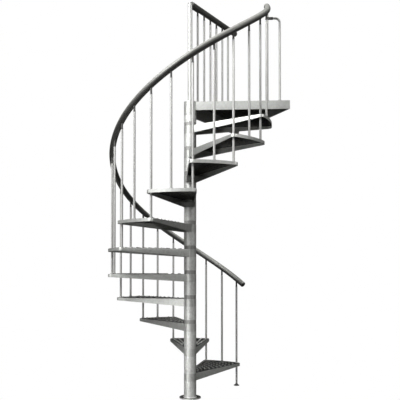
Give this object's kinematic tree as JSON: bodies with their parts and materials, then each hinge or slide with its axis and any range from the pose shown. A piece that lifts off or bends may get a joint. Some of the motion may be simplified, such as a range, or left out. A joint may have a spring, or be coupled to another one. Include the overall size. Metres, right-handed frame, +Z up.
{
  "type": "spiral staircase",
  "caption": "Galvanised steel spiral staircase with wedge treads on a central column, a triangular landing, round balusters and a helical handrail.",
  "frame": {"origin": "centre of the base flange's underside, on the column's axis at floor level", "axes": "+Z up along the column; +X along the landing's front edge, to the right in the picture; +Y away from the picture's camera; the climb turns from +X towards +Y"},
  "size_m": [1.6679, 1.5098, 3.687],
  "materials": {
    "zinc": "hot-dip galvanised, faint spangle, satin",
    "rail_zinc": "galvanised tube, weathered darker grey, satin",
    "dark_zinc": "dull dark galvanised fittings"
  },
  "bodies": {
    "root": {"base_flange": "dark_zinc", "floor_foot": "dark_zinc", "central_post": "zinc", "column_tubes": "zinc", "column_rings": "dark_zinc", "tread_01": "zinc", "tread_02": "zinc", "tread_03": "zinc", "tread_04": "zinc", "tread_05": "zinc", "tread_06": "zinc", "tread_07": "zinc", "tread_08": "zinc", "tread_09": "zinc", "tread_10": "zinc", "tread_11": "zinc", "landing": "zinc", "balusters_01": "zinc", "balusters_02": "zinc", "balusters_03": "zinc", "balusters_04": "zinc", "balusters_05": "zinc", "balusters_06": "zinc", "balusters_07": "zinc", "balusters_08": "zinc", "balusters_09": "zinc", "balusters_10": "zinc", "balusters_11": "zinc", "landing_baluster": "zinc", "rail_pins": "dark_zinc", "handrail": "rail_zinc", "guard_rail": "rail_zinc", "guard_balusters": "zinc", "guard_pins": "dark_zinc", "post_bracket": "dark_zinc", "closing_tube": "zinc", "post_cap": "dark_zinc"}
  },
  "joints": []
}
